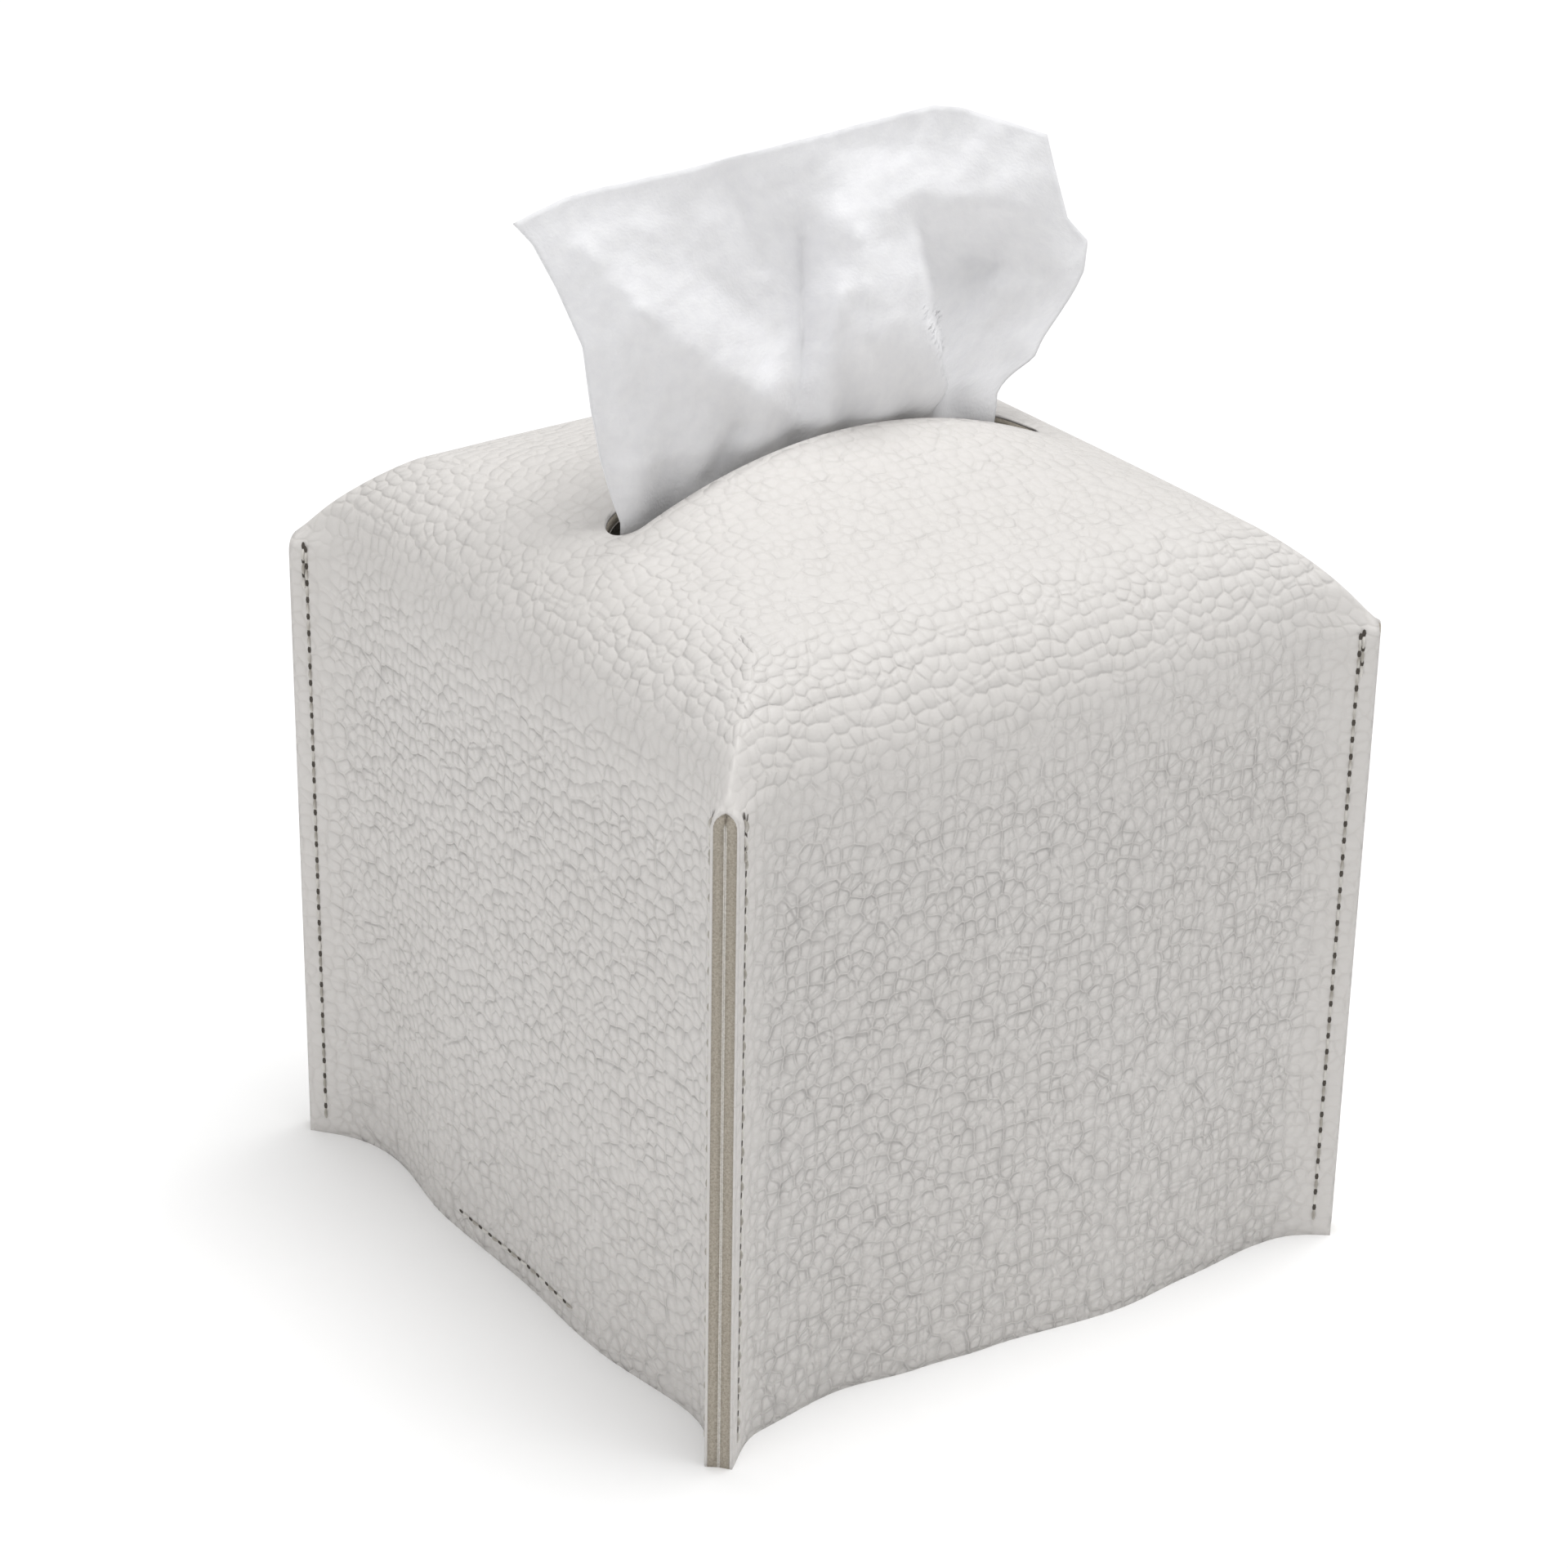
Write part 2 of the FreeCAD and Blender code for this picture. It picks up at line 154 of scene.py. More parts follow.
def grainedLeather():
    look = leatherLook
    material, tree, shader = newMaterial("embossed PU leather, pebble grain")
    flat = addNode(tree, "ShaderNodeUVMap", {"uv_map": "blank"}).outputs[0]  # the flat cut, in millimetres
    press = addNode(tree, "ShaderNodeAttribute", {"attribute_name": "pressed"}).outputs["Fac"]
    # the places wander a little, so that the pebbles do not stand in rows
    sway = addNode(tree, "ShaderNodeTexNoise", {"noise_dimensions": "2D"},
                   {"Vector": flat, "Scale": look["sway"] / look["pebble"], "Detail": 3.0})
    centred = addNode(tree, "ShaderNodeVectorMath", {"operation": "SUBTRACT"},
                      {0: sway.outputs["Color"], 1: (0.5, 0.5, 0.5)})
    shift = addNode(tree, "ShaderNodeVectorMath", {"operation": "SCALE"},
                    {0: centred.outputs[0], "Scale": look["wander"] * look["pebble"]})
    wandering = addNode(tree, "ShaderNodeVectorMath", {"operation": "ADD"},
                        {0: flat, 1: shift.outputs[0]}).outputs[0]
    grain = {"Vector": wandering, "Scale": 1 / look["pebble"], "Randomness": look["scatter"]}
    swell = flatCells(tree, "SMOOTH_F1", {**grain, "Smoothness": look["blend"]})
    groove = easeNode(tree, flatCells(tree, "DISTANCE_TO_EDGE", grain), {"From Max": look["groove"]})
    crease = flatCells(tree, "DISTANCE_TO_EDGE", {"Vector": wandering, "Scale": 1 / look["crease"]})
    fold = easeNode(tree, crease, {"From Max": look["creaseWidth"]})
    patch = flatNoise(tree, flat, look["patch"] * look["pebble"], 1.0)
    sharp = easeNode(tree, patch, {"From Min": 0.3, "From Max": 0.7,
                                   "To Min": look["faint"], "To Max": look["clear"]})
    pore = flatNoise(tree, flat, look["pore"], 3.0)
    dome = mathNode(tree, "MULTIPLY", swell, swell)
    height = mathNode(tree, "MULTIPLY", groove, sharp)
    for layer, rise in ((dome, look["dome"]), (fold, look["creaseRise"]), (pore, look["poreRise"])):
        height = mathNode(tree, "MULTIPLY_ADD", layer, rise, height)
    height = mathNode(tree, "MULTIPLY", height, press)
    # the grooves are painted darker, as the shade that falls in them, and are duller than the tops, all under a faint
    # cloud of random tone
    grooveShade = mathNode(tree, "MULTIPLY", mathNode(tree, "SUBTRACT", 1.0, groove), sharp)
    cloud = flatNoise(tree, flat, look["cloud"], 2.0)
    cloudAndGrooveShade = addNode(tree, "ShaderNodeMath", {"operation": "MULTIPLY_ADD", "use_clamp": True},
                   {0: cloud, 1: look["cloudShare"], 2: grooveShade}).outputs[0]
    gloss = addNode(tree, "ShaderNodeMapRange", {},
                    {"Value": groove, "To Min": look["roughGroove"], "To Max": look["roughTop"]}).outputs[0]
    setInputs(tree, shader, {
        "Base Color": mixColours(tree, cloudAndGrooveShade, look["film"], look["valleyShade"]), "Roughness": gloss,
        "Normal": reliefOf(tree, height, look["strength"], look["depth"]),
        "IOR": 1.48, "Specular IOR Level": 0.35})
    return material


# needle felt cut with a blade: short fibres end on, dull and speckled. The scrim behind it is paler
feltLook = {
    "fibre": 0.35, "nap": 0.2, "felt": "#BFB7AA", "shade": "#9F978A", "scrim": "#E4E0D9", "scrimShade": "#C9C4BB",
}


def cutFelt(name, felt, shade):
    material, tree, shader = newMaterial(name)
    place = addNode(tree, "ShaderNodeTexCoord").outputs["Object"]
    fibre = addNode(tree, "ShaderNodeTexNoise", {}, {
        "Vector": place, "Scale": 1 / (feltLook["fibre"] * mm), "Detail": 4.0, "Roughness": 0.7}).outputs[0]
    spread = easeNode(tree, fibre, {"From Min": 0.3, "From Max": 0.7})
    setInputs(tree, shader, {
        "Base Color": mixColours(tree, spread, shade, felt),
        "Normal": reliefOf(tree, fibre, 0.7, feltLook["nap"]),
        "Roughness": 0.95, "Specular IOR Level": 0.1})
    return material


leatherFilm = grainedLeather()
feltCore = cutFelt("needle felt, blade cut", feltLook["felt"], feltLook["shade"])
scrimBack = cutFelt("knitted scrim backing", feltLook["scrim"], feltLook["scrimShade"])
print("materials ready")

# the cover: one cross-shaped cut of leather, folded down on four sides, each corner sewn into a fin
coverSizes = {
    "wall": 60.5, "bow": 1.5, "shoulder": 111.0, "foldRadius": 23.0, "foldTurn": 75.0,
    "finReach": 91.92, "layer": 2.25, "film": 0.45, "felt": 1.58, "scrim": 0.24,
    "spread": 1.35, "flare": 6.4, "flareMore": 6.0, "flareSoft": 2.6, "softMore": 1.6, "waveFade": 1.3,
    "slotHalf": 43.0, "slotRound": 4.0, "lipHalf": 27.0, "endShare": 0.55, "crown": 143.4, "crownFall": 0.0055,
    "columns": 72, "wallRows": 44, "foldRows": 26, "topRows": 18, "weld": 0.02, "topFrom": 130.0,
    "roundFrom": 113.0, "roundTurns": 8, "ridgeFrom": 90.0, "leastRoom": 0.3, "slack": 0.02,
}
# reach from the middle, height and half gap of the corner, from the top of the fin along its ridge into the top
cornerPath = [
    (0.0, 91.92, 112.0, 2.25), (0.0385, 91.92, 113.0, 2.25), (0.0769, 91.9, 113.9, 2.22),
    (0.1154, 91.85, 114.7, 2.0), (0.1538, 91.75, 115.35, 1.56), (0.1923, 91.6, 115.85, 0.9),
    (0.2308, 91.4, 116.1, 0.0), (0.3, 88.6, 119.3, 0.0), (0.4, 84.6, 122.6, 0.0),
    (0.6, 79.0, 126.3, 0.0), (0.8, 73.6, 129.4, 0.0), (1.0, 68.0, 132.1, 0.0),
]
# how far each panel's lower edge stands out from its plain bow: place across, then out
panelWaves = {
    "front": [
        (-63, 0), (-54, -1.2), (-36, -3.6), (-21, -1.8), (-9, -0.6), (19, 2.5), (34, 1.5), (50, 0.6), (63, 0),
    ],
    "left": [(-63, 0), (-45, -2.2), (-24, 0.0), (0, -0.4), (25, 0.9), (50, -1.0), (63, 0)],
    "back": [(-63, 0), (-44, -1.8), (-16, 0.9), (14, 0.3), (42, -2.2), (63, 0)],
    "right": [(-63, 0), (-46, -1.5), (-18, 0.8), (12, 1.4), (40, -1.9), (63, 0)],
}
# how boldly the grain stands by height: the pull over the folds and the sewing of the fins flatten it
grainRise = {
    "front": [(0, 2.05), (92, 2.05), (113, 1.2), (118, 0.8), (126, 0.72), (132, 0.7)],
    "rest": [(0, 1.6), (92, 1.6), (116, 1.0), (122, 1.0), (132, 0.65)],
    "leftEase": 0.15, "finFlat": 0.7, "finFrom": 78.0, "finTo": 90.0,
}
panelTurns = {"front": 0, "right": 90, "back": 180, "left": 270}


def slotPoint(share, onLongSide):
    # a place on the slot's edge: share runs -1 to 1 over one panel's part of it
    size = coverSizes
    straight = size["slotHalf"] - size["slotRound"]
    side = math.copysign(1, share)
    if onLongSide:
        return Vector((size["lipHalf"] * share, -size["slotRound"], 0))
    if abs(share) <= size["endShare"]:
        turn = math.radians(90) * share / size["endShare"]
        return Vector((size["slotRound"] * math.sin(turn), -straight - size["slotRound"] * math.cos(turn), 0))
    past = (abs(share) - size["endShare"]) / (1 - size["endShare"])
    return Vector((side * size["slotRound"], -straight + (straight - size["lipHalf"]) * past, 0))


def crownHeight(x):
    return coverSizes["crown"] - coverSizes["crownFall"] * x * x


def panelPoint(panel, share, row):
    # one point of a panel seen as the front one: share -1 to 1 across it, row up from its lower edge
    size = coverSizes
    wallRows, foldRows, topRows = size["wallRows"], size["foldRows"], size["topRows"]
    side = math.copysign(1, share)
    lean = 1 - (1 - abs(share)) ** size["spread"]
    if row <= wallRows:
        rise = row / wallRows
        turn = 0.0
        middle = (size["wall"] + size["bow"], size["shoulder"] * rise)
        reach, height, gap = size["finReach"], cornerPath[0][2] * rise, size["layer"]
    else:
        rise = min((row - wallRows) / foldRows, 1.0)
        turn = math.radians(size["foldTurn"]) * rise
        centre = size["wall"] + size["bow"] - size["foldRadius"]
        middle = (centre + size["foldRadius"] * math.cos(turn),
                  size["shoulder"] + size["foldRadius"] * math.sin(turn))
        reach, height, gap = along(cornerPath, rise, soft=False)
    cornerSide, cornerOut = (reach - gap) / math.sqrt(2), (reach + gap) / math.sqrt(2)
    place = lean * cornerSide

    def bow(x):
        return -size["bow"] * (x / size["wall"]) ** 2 * math.cos(turn)

    fade = rise if row > wallRows else 0.0
    flare = size["flare"] + size["flareMore"] * fade
    soft = size["flareSoft"] + size["softMore"] * fade
    rising = math.log1p(math.exp((place - cornerSide + flare) / soft))
    rising /= math.log1p(math.exp(flare / soft))
    out = middle[0] + bow(place) + (cornerOut - middle[0] - bow(cornerSide)) * rising
    up = middle[1] + (height - middle[1]) * rising
    x = side * place
    if row <= wallRows:
        loose = (1 - row / wallRows) ** size["waveFade"]
        out += along(panelWaves[panel], x)[0] * loose
    point = Vector((x, -out, up))
    if row > wallRows + foldRows:
        inward = (row - wallRows - foldRows) / topRows
        lip = slotPoint(share, panel in ("front", "back"))
        lipAcross = lip.x if panel in ("front", "back") else lip.y
        lip.z = crownHeight(lipAcross)
        point = point.lerp(lip, inward)
    return point


def coverSheet():
    # the outer face of the whole cover as one sheet, with the flat cut kept as its UV map
    size = coverSizes
    whole = bmesh.new()
    blank = whole.loops.layers.uv.new("blank")
    pressed = whole.verts.layers.float.new("pressed")
    topRow = size["wallRows"] + size["foldRows"]
    rows = topRow + size["topRows"]
    for panel, turnedBy in panelTurns.items():
        made = bmesh.ops.create_grid(whole, x_segments=size["columns"], y_segments=rows, size=1.0)["verts"]
        turning = Matrix.Rotation(math.radians(turnedBy), 4, "Z")
        flatPlaces = {}
        grid = {}
        for vert in made:
            column = round((vert.co.x + 1) / 2 * size["columns"])
            row = round((vert.co.y + 1) / 2 * rows)
            grid[column, row] = vert
            share = 2 * column / size["columns"] - 1 or 1e-9  # never quite 0, so that it keeps a side
            vert.co = panelPoint(panel, share, row)
        # the flat place of each point: across its row from the middle, and down from the top along the panel
        middleColumn = size["columns"] // 2
        drop = {}
        length = 0.0
        for row in range(topRow, -1, -1):
            drop[row] = length
            if row:
                length += (grid[middleColumn, row].co - grid[middleColumn, row - 1].co).length
        edge = -grid[middleColumn, topRow].co.y
        for row in range(rows + 1):
            for step in (1, -1):
                across = 0.0
                column = middleColumn
                while 0 <= column <= size["columns"]:
                    vert = grid[column, row]
                    if row >= topRow:
                        flat = Vector((vert.co.x, vert.co.y))
                    else:
                        flat = Vector((across, -edge - drop[row]))
                    flatPlaces[vert] = flat
                    if 0 <= column + step <= size["columns"]:
                        across += step * (grid[column + step, row].co - vert.co).length
                    column += step
        flatTurn = Matrix.Rotation(math.radians(turnedBy), 2)
        faces = {face for vert in made for face in vert.link_faces}
        for face in faces:
            for loop in face.loops:
                loop[blank].uv = flatTurn @ flatPlaces[loop.vert]
        bmesh.ops.transform(whole, matrix=turning, verts=made)
    bmesh.ops.remove_doubles(whole, verts=whole.verts, dist=size["weld"])
    bmesh.ops.recalc_face_normals(whole, faces=whole.faces)
    if sum(face.normal.z for face in whole.faces if face.calc_center_median().z > size["topFrom"]) < 0:
        bmesh.ops.reverse_faces(whole, faces=whole.faces)
    # the leather rounds off where the folds meet over a fin
    for turn in range(size["roundTurns"]):
        loose = [v for v in whole.verts if v.co.z > size["roundFrom"] and not v.is_boundary]
        bmesh.ops.smooth_vert(whole, verts=loose, factor=0.5,
                              use_axis_x=True, use_axis_y=True, use_axis_z=True)
    whole.normal_update()
    for vert in whole.verts:
        reach = (abs(vert.co.x) + abs(vert.co.y)) / math.sqrt(2)
        front, left = max(-vert.normal.y, 0.0), max(-vert.normal.x, 0.0)
        bold = along(grainRise["front"], vert.co.z)[0] * front
        bold += along(grainRise["rest"], vert.co.z)[0] * (1 - front)
        sewn = smoothStep(grainRise["finFrom"], grainRise["finTo"], reach)
        vert[pressed] = bold * (1 - grainRise["leftEase"] * left) * (1 - grainRise["finFlat"] * sewn)
    return whole


def foldRoom(sheet):
    # how deep the leather can go at each vertex before it meets the other half of its corner's fold
    size = coverSizes
    room = []
    for vert in sheet.verts:
        across = Vector((math.copysign(1, vert.co.x), -math.copysign(1, vert.co.y), 0)) / math.sqrt(2)
        fits = size["layer"]
        if vert.co.z > size["shoulder"] and abs(vert.co.x) + abs(vert.co.y) > size["ridgeFrom"]:
            fits = (abs(vert.co.dot(across)) + size["slack"]) / (abs(vert.normal.dot(across)) + size["slack"])
        room.append(min(max(fits, size["leastRoom"]), size["layer"]))
    for turn in range(2):
        beside = [sum(room[e.other_vert(v).index] for e in v.link_edges) / len(v.link_edges) for v in sheet.verts]
        room = [(own + near) / 2 for own, near in zip(room, beside)]
    return room


def coverLayer(name, sheet, room, depth, thickness, material):
    # one layer of the leather, lying depth below the outer face where there is room
    bm = sheet.copy()
    bm.normal_update()
    shares = []
    for vert, fits in zip(bm.verts, room):
        vert.co -= vert.normal * min(depth, fits)
        shares.append((min(depth + thickness, fits) - min(depth, fits)) / thickness)
    bmesh.ops.scale(bm, vec=(mm, mm, mm), verts=bm.verts)
    piece = makePiece(name, bm, [material], "cover", ["leather_cover"])
    group = piece.vertex_groups.new(name="room")
    for number, share in enumerate(shares):
        group.add([number], share, "REPLACE")
    wall = piece.modifiers.new("thickness", "SOLIDIFY")
    wall.thickness = thickness * mm
    wall.offset = -1.0
    wall.use_even_offset = False
    wall.vertex_group = "room"


sheet = coverSheet()
sheet.normal_update()
sheet.verts.index_update()
outerFace = BVHTree.FromBMesh(sheet)
room = foldRoom(sheet)
depth = 0.0
for name, layer, material in (
        ("coverFilm", "film", leatherFilm), ("coverFelt", "felt", feltCore), ("coverScrim", "scrim", scrimBack)):
    coverLayer(name, sheet, room, depth, coverSizes[layer], material)
    depth += coverSizes[layer]
sheet.free()
print("cover ready")

# polyester sewing thread: three twisted plies, painted darker in the dips between them as the shade there, a slight
# silk sheen
threadLook = {"twist": 0.5, "relief": 0.1, "ply": "#DAD7D1", "dip": "#A9A49B"}


def twistedThread():
    look = threadLook
    material, tree, shader = newMaterial("twisted polyester thread")
    place = addNode(tree, "ShaderNodeTexCoord").outputs["Object"]
    plies = addNode(tree, "ShaderNodeTexWave", {"bands_direction": "DIAGONAL"},
                    {"Vector": place, "Scale": 0.05 / (look["twist"] * mm), "Distortion": 1.0}).outputs[1]
    setInputs(tree, shader, {
        "Base Color": mixColours(tree, plies, look["dip"], look["ply"]),
        "Normal": reliefOf(tree, plies, 0.6, look["relief"]), "Roughness": 0.55, "Sheen Weight": 0.2})
    return material


# a needle hole: a dark disc painted with the shade inside the hole, without shine
holeShadeLook = {"speck": 0.3, "dark": "#3A3632", "light": "#635D56"}


def needleHoleShade():
    material, tree, shader = newMaterial("needle hole, painted shade")
    place = addNode(tree, "ShaderNodeTexCoord").outputs["Object"]
    speck = addNode(tree, "ShaderNodeTexNoise", {},
                    {"Vector": place, "Scale": 1 / (holeShadeLook["speck"] * mm)}).outputs[0]
    setInputs(tree, shader, {
        "Base Color": mixColours(tree, speck, holeShadeLook["dark"], holeShadeLook["light"]), "Roughness": 1.0})
    return material


sewingThread = twistedThread()
holeShade = needleHoleShade()

# lock stitches: each dips into the leather at both ends, where a dark disc stands for the shade in the needle's hole
stitchSizes = {
    "pitch": 3.1, "length": 2.1, "radius": 0.27, "arch": 0.2, "taper": 0.35, "dip": 1.6,
    "hole": 0.33, "slit": 0.72, "holeLift": 0.05, "row": 88.8, "low": 1.2, "high": 115.5, "beside": 20.0,
    "lockCount": 3, "lockFrom": 2.4, "lockStep": 2.6, "lockOut": 0.55,
}


def stitchMesh():
    size = stitchSizes
    bm = bmesh.new()
    bmesh.ops.create_cone(bm, segments=6, radius1=size["radius"], radius2=size["radius"],
                          depth=size["length"], cap_ends=True)
    lengthwise = [e for e in bm.edges if abs(e.verts[0].co.z - e.verts[1].co.z) > size["length"] / 2]
    bmesh.ops.subdivide_edges(bm, edges=lengthwise, cuts=3)
    for vert in bm.verts:
        end = vert.co.z / (size["length"] / 2)
        slim = 1 - size["taper"] * end * end
        vert.co.x *= slim
        vert.co.y = vert.co.y * slim + size["arch"] * (1 - size["dip"] * end * end)
    mesh = bpy.data.meshes.new("stitch")
    bm.to_mesh(mesh)
    bm.clear()
    # a flat dark disc at the stitch's end, painted with the shade of the needle hole
    bmesh.ops.create_circle(bm, segments=8, radius=size["hole"], cap_ends=True)
    bmesh.ops.rotate(bm, verts=bm.verts, cent=(0, 0, 0),
                     matrix=Matrix.Rotation(math.radians(-90), 3, "X"))
    bmesh.ops.scale(bm, verts=bm.verts, vec=(1, 1, size["slit"] / size["hole"]))
    bmesh.ops.translate(bm, verts=bm.verts, vec=(0, size["holeLift"], size["pitch"] / 2))
    for face in bm.faces:
        face.material_index = 1
    hole = bpy.data.meshes.new("hole")
    bm.to_mesh(hole)
    bm.free()
    return mesh, hole


stitchOne, holeShadeDisc = stitchMesh()


def sew(name, places, body, replaced):
    # places holds the middle, the run and the outward way of each stitch, in millimetres
    bm = bmesh.new()
    for middle, run, out in places:
        turned = Matrix.Translation(middle) @ Matrix((out.cross(run), out, run)).transposed().to_4x4()
        for mesh in (stitchOne, holeShadeDisc):
            count = len(bm.verts)
            bm.from_mesh(mesh)
            bm.verts.ensure_lookup_table()
            bmesh.ops.transform(bm, matrix=turned, verts=bm.verts[count:])
    bmesh.ops.scale(bm, vec=(mm, mm, mm), verts=bm.verts)
    makePiece(name, bm, [sewingThread, holeShade], body, replaced)


def evenPlaces(start, end, out):
    # stitches at an even pitch on a straight row, with what is left over shared between its two ends
    start, end = Vector(start), Vector(end)
    pitch = stitchSizes["pitch"]
    count = int((end - start).length / pitch)
    run = (end - start).normalized()
    first = ((end - start).length - count * pitch) / 2
    return [(start + run * (first + (n + 0.5) * pitch), run, Vector(out)) for n in range(count)]


def onFace(places):
    # brings stitches set out beside the cover onto its outer face
    laid = []
    for middle, run, out in places:
        found, normal = outerFace.ray_cast(middle, -out)[:2]
        laid.append((found, (run - normal * run.dot(normal)).normalized(), normal))
    return laid


up = Vector((0, 0, 1))
lowEnd, highEnd = up * stitchSizes["low"], up * stitchSizes["high"]
for corner, turn in (("back_right", 45), ("back_left", 135), ("front_left", 225), ("front_right", 315)):
    outward = Vector((math.cos(math.radians(turn)), math.sin(math.radians(turn)), 0))
    places = []
    for side in (-1, 1):
        aside = up.cross(outward) * side
        foot = outward * stitchSizes["row"] + aside * stitchSizes["beside"]
        sewn = evenPlaces(foot + lowEnd, foot + highEnd, aside)
        # the seam is locked at its top by a few stitches sewn over again
        for number in range(stitchSizes["lockCount"]):
            height = stitchSizes["high"] - stitchSizes["lockFrom"] - stitchSizes["lockStep"] * number
            sewn.append((foot + up * height + outward * stitchSizes["lockOut"], up, aside))
        places += onFace(sewn)
    sew("seamThread_" + corner, places, "cover", ["seam_thread_" + corner])
print("seams sewn")

# closing belt: a leather strap sewn inside the left panel and a tab inside the right one
beltSizes = {
    "width": 38.0, "thick": 1.8, "round": 6.0, "bend": 1.9, "seamHeight": 4.0, "tabSeam": 8.35, "beside": 80.0,
    "columns": 84, "rows": 14, "grain": 0.6, "pivotIn": 0.25, "blendUp": 1.9, "blendIn": 1.6,
}


def beltStrip(name, side, root, flat, end, nodes):
    # root is the sewn end's node, flat the height of the level part and end where it stops, as the frame has them
    size = beltSizes
    low, high = [Vector(c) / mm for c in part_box(root)]
    wall = abs((low.x + high.x) / 2)
    bend = size["bend"]
    upright = high.z - flat - bend
    turnLength = bend * math.pi / 2
    reach = abs(end - side * (wall - bend))
    total = upright + turnLength + reach
    bm = bmesh.new()
    blank = bm.loops.layers.uv.new("blank")
    pressed = bm.verts.layers.float.new("pressed")
    verts = bmesh.ops.create_grid(bm, x_segments=size["columns"], y_segments=size["rows"], size=1.0)["verts"]
    flats = {}
    for vert in verts:
        place = total * ((vert.co.x + 1) / 2)
        half = size["width"] / 2
        fromEnd = total - place
        if fromEnd < size["round"]:
            inRound = size["round"] - fromEnd
            half -= size["round"] - math.sqrt(max(size["round"] ** 2 - inRound ** 2, 0.0))
        across = vert.co.y * half
        flats[vert] = (place, across)
        if place < upright:
            x, z = wall, high.z - place
        elif place < upright + turnLength:
            turn = (place - upright) / bend
            x, z = wall - bend + bend * math.cos(turn), flat + bend - bend * math.sin(turn)
        else:
            x, z = wall - bend - (place - upright - turnLength), flat
        vert.co = (side * x, across, z)
        vert[pressed] = size["grain"]
    for face in bm.faces:
        for loop in face.loops:
            loop[blank].uv = flats[loop.vert]
    bmesh.ops.recalc_face_normals(bm, faces=bm.faces)
    bmesh.ops.scale(bm, vec=(mm, mm, mm), verts=bm.verts)
    piece = makePiece(name, bm, [leatherFilm, feltCore], None, nodes)
    leather = piece.modifiers.new("thickness", "SOLIDIFY")
    leather.thickness = size["thick"] * mm
    leather.offset = 0.0
    leather.material_offset_rim = 1
    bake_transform(piece)


strapLow, strapHigh = [Vector(c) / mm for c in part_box("strap")]
tabLow, tabHigh = [Vector(c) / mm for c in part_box("tab")]
beltStrip("beltStrap", -1, "strap_root", (strapLow.z + strapHigh.z) / 2, strapHigh.x,
          ["strap", "strap_root"])
beltStrip("beltTab", 1, "tab_root", (tabLow.z + tabHigh.z) / 2, tabLow.x, ["tab", "tab_root"])

# woven nylon tape: the hook side is set with stiff rows, the loop side is a brushed nap
patchSizes = {"corner": 1.5, "edge": 0.3, "nap": 0.5, "stitchIn": 2.0, "stitchDeep": 0.15}
patchLooks = {
    "hook_patch": {
        "piece": "hookPatch", "finish": "nylon hook tape, woven", "cell": 0.9, "strength": 1.0,
        "colour": "#E4E3E0", "shade": "#B9B7B2", "body": "belt_strap", "slot": "hook_tape", "napSide": 1,
    },
    "loop_patch": {
        "piece": "loopPatch", "finish": "nylon loop tape, brushed", "cell": 0.55, "strength": 0.6,
        "colour": "#EEEDEB", "shade": "#CFCDC9", "body": "belt_tab", "slot": "loop_tape", "napSide": -1,
    },
}


def fastenerTape(look):
    material, tree, shader = newMaterial(look["finish"])
    place = addNode(tree, "ShaderNodeTexCoord").outputs["Object"]
    tuft = addNode(tree, "ShaderNodeTexVoronoi", {},
                   {"Vector": place, "Scale": 1 / (look["cell"] * mm), "Randomness": 0.35}).outputs[0]
    setInputs(tree, shader, {
        "Base Color": mixColours(tree, tuft, look["colour"], look["shade"]),
        "Normal": reliefOf(tree, tuft, look["strength"], patchSizes["nap"], invert=True),
        "Roughness": 0.8, "Sheen Weight": 0.3})
    return material


for node, look in patchLooks.items():
    low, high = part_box(node)
    middle = (low + high) / 2
    bm = bmesh.new()
    bmesh.ops.create_cube(bm, size=1.0)
    bmesh.ops.scale(bm, vec=high - low, verts=bm.verts)
    bmesh.ops.translate(bm, vec=middle, verts=bm.verts)
    corners = [e for e in bm.edges if abs(e.verts[0].co.z - e.verts[1].co.z) > (high.z - low.z) / 2]
    bmesh.ops.bevel(bm, geom=corners, offset=patchSizes["corner"] * mm, segments=4, profile=0.5,
                    affect="EDGES", material=-1)
    napEdges = [e for e in bm.edges if all((v.co.z - middle.z) * look["napSide"] > 0 for v in e.verts)]
    bmesh.ops.bevel(bm, geom=napEdges, offset=patchSizes["edge"] * mm, segments=2, profile=0.5,
                    affect="EDGES", material=-1)
    makePiece(look["piece"], bm, [fastenerTape(look)], look["body"], [node])

beltHalf = beltSizes["width"] / 2
for name, side, root, height, node in (
        ("strapThread", -1, "strap_root", beltSizes["seamHeight"], "strap_thread"),
        ("tabThread", 1, "tab_root", beltSizes["tabSeam"], "tab_thread")):
    low, high = [Vector(c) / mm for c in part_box(root)]
    inner = high.x if side < 0 else low.x
    beside = side * beltSizes["beside"]
    outside = onFace(evenPlaces((beside, -beltHalf, height), (beside, beltHalf, height), (side, 0, 0)))
    inside = evenPlaces((inner, -beltHalf, height), (inner, beltHalf, height), (-side, 0, 0))
    sew(name, outside + inside, "cover", [node])
for name, patchNode, face, out, body, node in (
        ("hookPatchThread", "hook_patch", strapLow.z, -1, "belt_strap", "hook_patch_thread"),
        ("loopPatchThread", "loop_patch", tabHigh.z, 1, "belt_tab", "loop_patch_thread")):
    low, high = [Vector(c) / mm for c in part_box(patchNode)]
    inset = Vector((patchSizes["stitchIn"], patchSizes["stitchIn"], 0))
    low, high = low + inset, high - inset
    ring = [(low.x, low.y, face), (high.x, low.y, face), (high.x, high.y, face), (low.x, high.y, face)]
    places = []
    for number, point in enumerate(ring):
        places += evenPlaces(point, ring[(number + 1) % 4], (0, 0, out))
    sew(name, [(spot - way * patchSizes["stitchDeep"], run, way) for spot, run, way in places], body, [node])
print("belt sewn")

